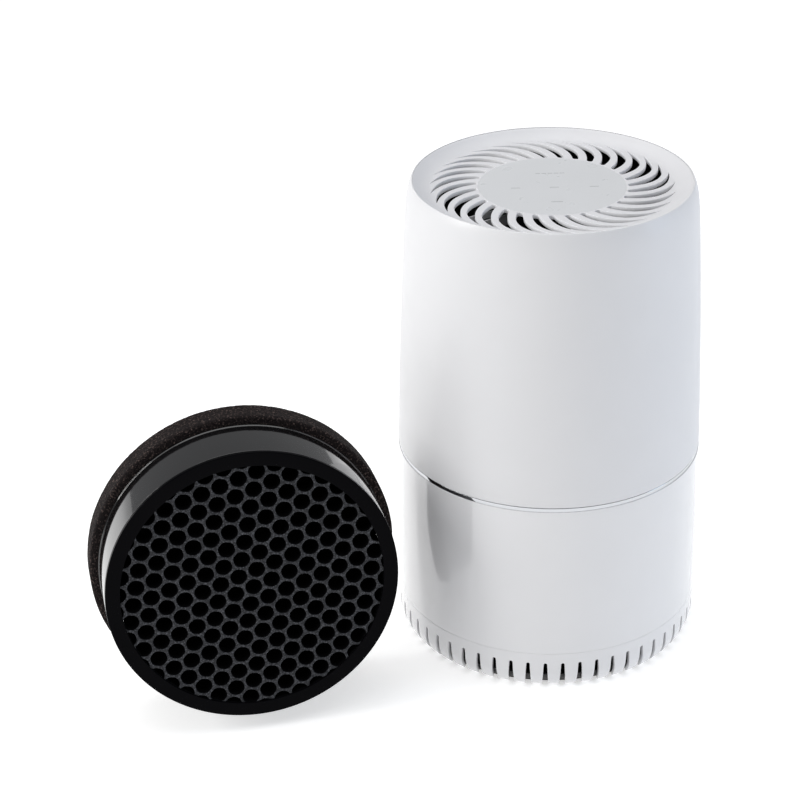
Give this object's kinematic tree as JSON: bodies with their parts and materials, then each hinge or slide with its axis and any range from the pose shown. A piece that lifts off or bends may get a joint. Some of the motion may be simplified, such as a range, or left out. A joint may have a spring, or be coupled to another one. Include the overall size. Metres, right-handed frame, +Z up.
{
  "type": "air purifier",
  "caption": "Round white table-top air purifier with a slotted foot, a swirl-slot top grille and a touch panel, its round honeycomb filter standing beside it.",
  "frame": {"origin": "on the purifier's own vertical axis, in the plane it stands on", "axes": "+Z up along the purifier's axis, -Y towards the front, +X to the right seen from the front"},
  "size_m": [0.4153, 0.2589, 0.33],
  "materials": {
    "gloss_white": "high gloss",
    "satin_white": "satin",
    "panel_grey": "satin gloss",
    "bright_trim": "mirror",
    "dark_plastic": "fine moulded",
    "gloss_black": "high gloss",
    "carbon_black": "matt, slightly grainy",
    "foam": "open cell foam",
    "filter_paper": "pleated non-woven",
    "circuit_board": "solder mask",
    "steel": "plated",
    "motor_steel": "plain",
    "rubber": "matt",
    "wire": "matt insulation"
  },
  "bodies": {
    "base": {"base_cup": "gloss_white", "base_plate": "dark_plastic", "intake_cage": "dark_plastic", "foot_pad_1": "rubber", "foot_pad_2": "rubber", "foot_pad_3": "rubber", "foot_pad_4": "rubber", "base_screw_1": "steel", "base_screw_2": "steel", "base_screw_3": "steel", "base_screw_4": "steel"},
    "lock": {"lock_ring": "dark_plastic"},
    "housing": {"lower_housing": "gloss_white", "trim_ring": "bright_trim", "upper_housing": "gloss_white", "top_grille": "satin_white", "control_panel": "panel_grey", "touch_board": "circuit_board", "power_inlet": "dark_plastic", "interlock_switch": "dark_plastic", "filter_seat": "satin_white", "seat_gasket": "rubber", "inlet_guard": "dark_plastic", "fan_housing": "satin_white", "motor_mount": "satin_white", "motor_body": "motor_steel", "guide_vanes": "satin_white", "board_tray": "satin_white", "main_board": "circuit_board", "cable_duct": "satin_white", "mains_lead": "wire", "motor_lead": "wire", "panel_lead": "wire", "housing_screw_1": "steel", "housing_screw_2": "steel", "housing_screw_3": "steel", "housing_screw_4": "steel"},
    "fan": {"impeller": "satin_white", "motor_shaft": "steel", "hub_nut": "steel"},
    "plunger": {"interlock_plunger": "dark_plastic"},
    "filter": {"filter_hoop": "gloss_black", "face_rim": "carbon_black", "carbon_honeycomb": "carbon_black", "filter_paper": "filter_paper", "filter_back_ring": "dark_plastic", "foam_seal": "foam"}
  },
  "joints": [
    {"name": "lock_twist", "type": "hinge", "parent": "base", "child": "lock", "pos_m": [0, 0, 0], "axis": [0, 0, 1], "range_deg": [0, 15]},
    {"name": "housing_lift", "type": "slide", "parent": "lock", "child": "housing", "axis": [0, 0, 1], "range_m": [0, 0.12]},
    {"name": "fan_spin", "type": "hinge", "parent": "housing", "child": "fan", "pos_m": [0, 0, 0], "axis": [0, 0, 1], "continuous": true},
    {"name": "plunger_travel", "type": "slide", "parent": "housing", "child": "plunger", "axis": [0, 0, -1], "range_m": [0, 0.003]},
    {"name": "filter_lift", "type": "slide", "parent": "base", "child": "filter", "axis": [0, 0, 1], "range_m": [0, 0.15]}
  ],
  "couplings": [
    {"joint": "plunger_travel", "follows": "housing_lift", "ratio": 0.025}
  ]
}
